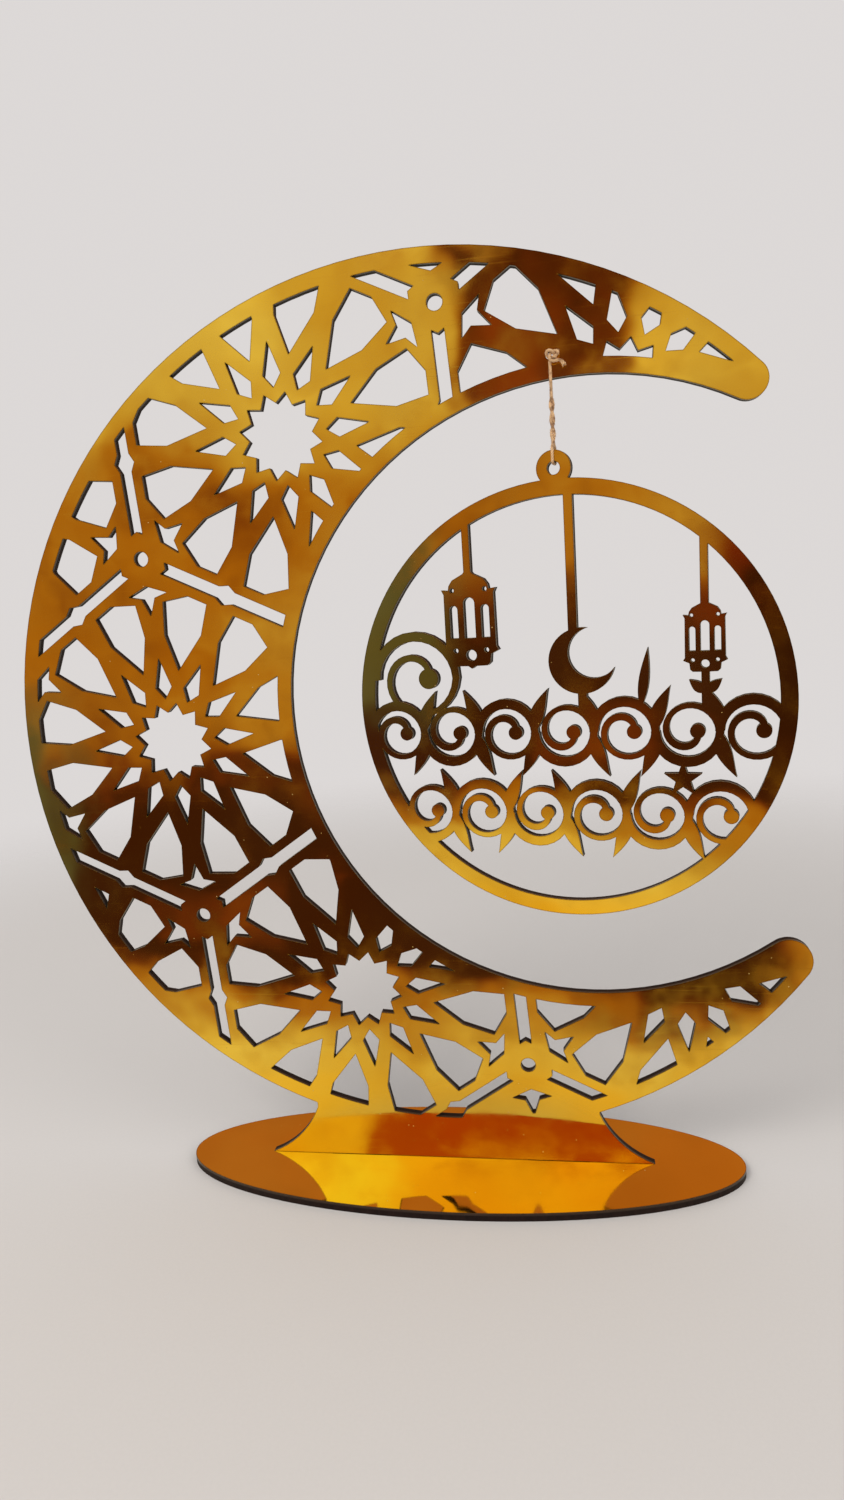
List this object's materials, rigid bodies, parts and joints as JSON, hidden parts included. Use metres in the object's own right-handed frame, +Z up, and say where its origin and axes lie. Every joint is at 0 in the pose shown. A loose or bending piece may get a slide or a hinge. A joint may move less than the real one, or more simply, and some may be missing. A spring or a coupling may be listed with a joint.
{
  "type": "crescent moon table ornament",
  "caption": "Free-standing pierced crescent on an oval base, with a round scrollwork medallion of lanterns, moon and star hanging on a thread in its bay.",
  "frame": {"origin": "centre of the oval base's underside, on the surface that the ornament stands on", "axes": "+Z up, +X along the crescent towards its open side, +Y towards its back"},
  "size_m": [0.2763, 0.066, 0.3189],
  "materials": {
    "board": "dark fibreboard with scorched laser-cut edges",
    "gold_mirror": "gold mirror acrylic",
    "thread": "twisted tan thread"
  },
  "bodies": {
    "stand": {"base_board": "board", "base_mirror": "gold_mirror", "crescent_board": "board", "crescent_mirror": "gold_mirror", "thread_knot": "thread"},
    "thread_top": {"thread_front": "thread", "thread_back": "thread"},
    "thread_drop": {"thread_pair": "thread"},
    "thread_eye": {"thread_bight": "thread"},
    "medallion": {"medallion_board": "board", "medallion_mirror": "gold_mirror"}
  },
  "joints": [
    {"name": "side_swing", "type": "hinge", "parent": "stand", "child": "thread_top", "pos_m": [0.0455, 0, 0.28209], "axis": [0, 1, 0], "range_deg": [-7, 7]},
    {"name": "fore_aft_swing", "type": "hinge", "parent": "thread_top", "child": "thread_drop", "pos_m": [0.0455, 0, 0.27004], "axis": [1, 0, 0], "range_deg": [-30, 30]},
    {"name": "twist", "type": "hinge", "parent": "thread_drop", "child": "thread_eye", "pos_m": [0.0455, 0, 0.25627], "axis": [0, 0, 1], "range_deg": [-180, 180]},
    {"name": "tilt", "type": "hinge", "parent": "thread_eye", "child": "medallion", "pos_m": [0.0455, 0, 0.24922], "axis": [0.1959, 0.9806, 0], "range_deg": [-4, 4]}
  ]
}
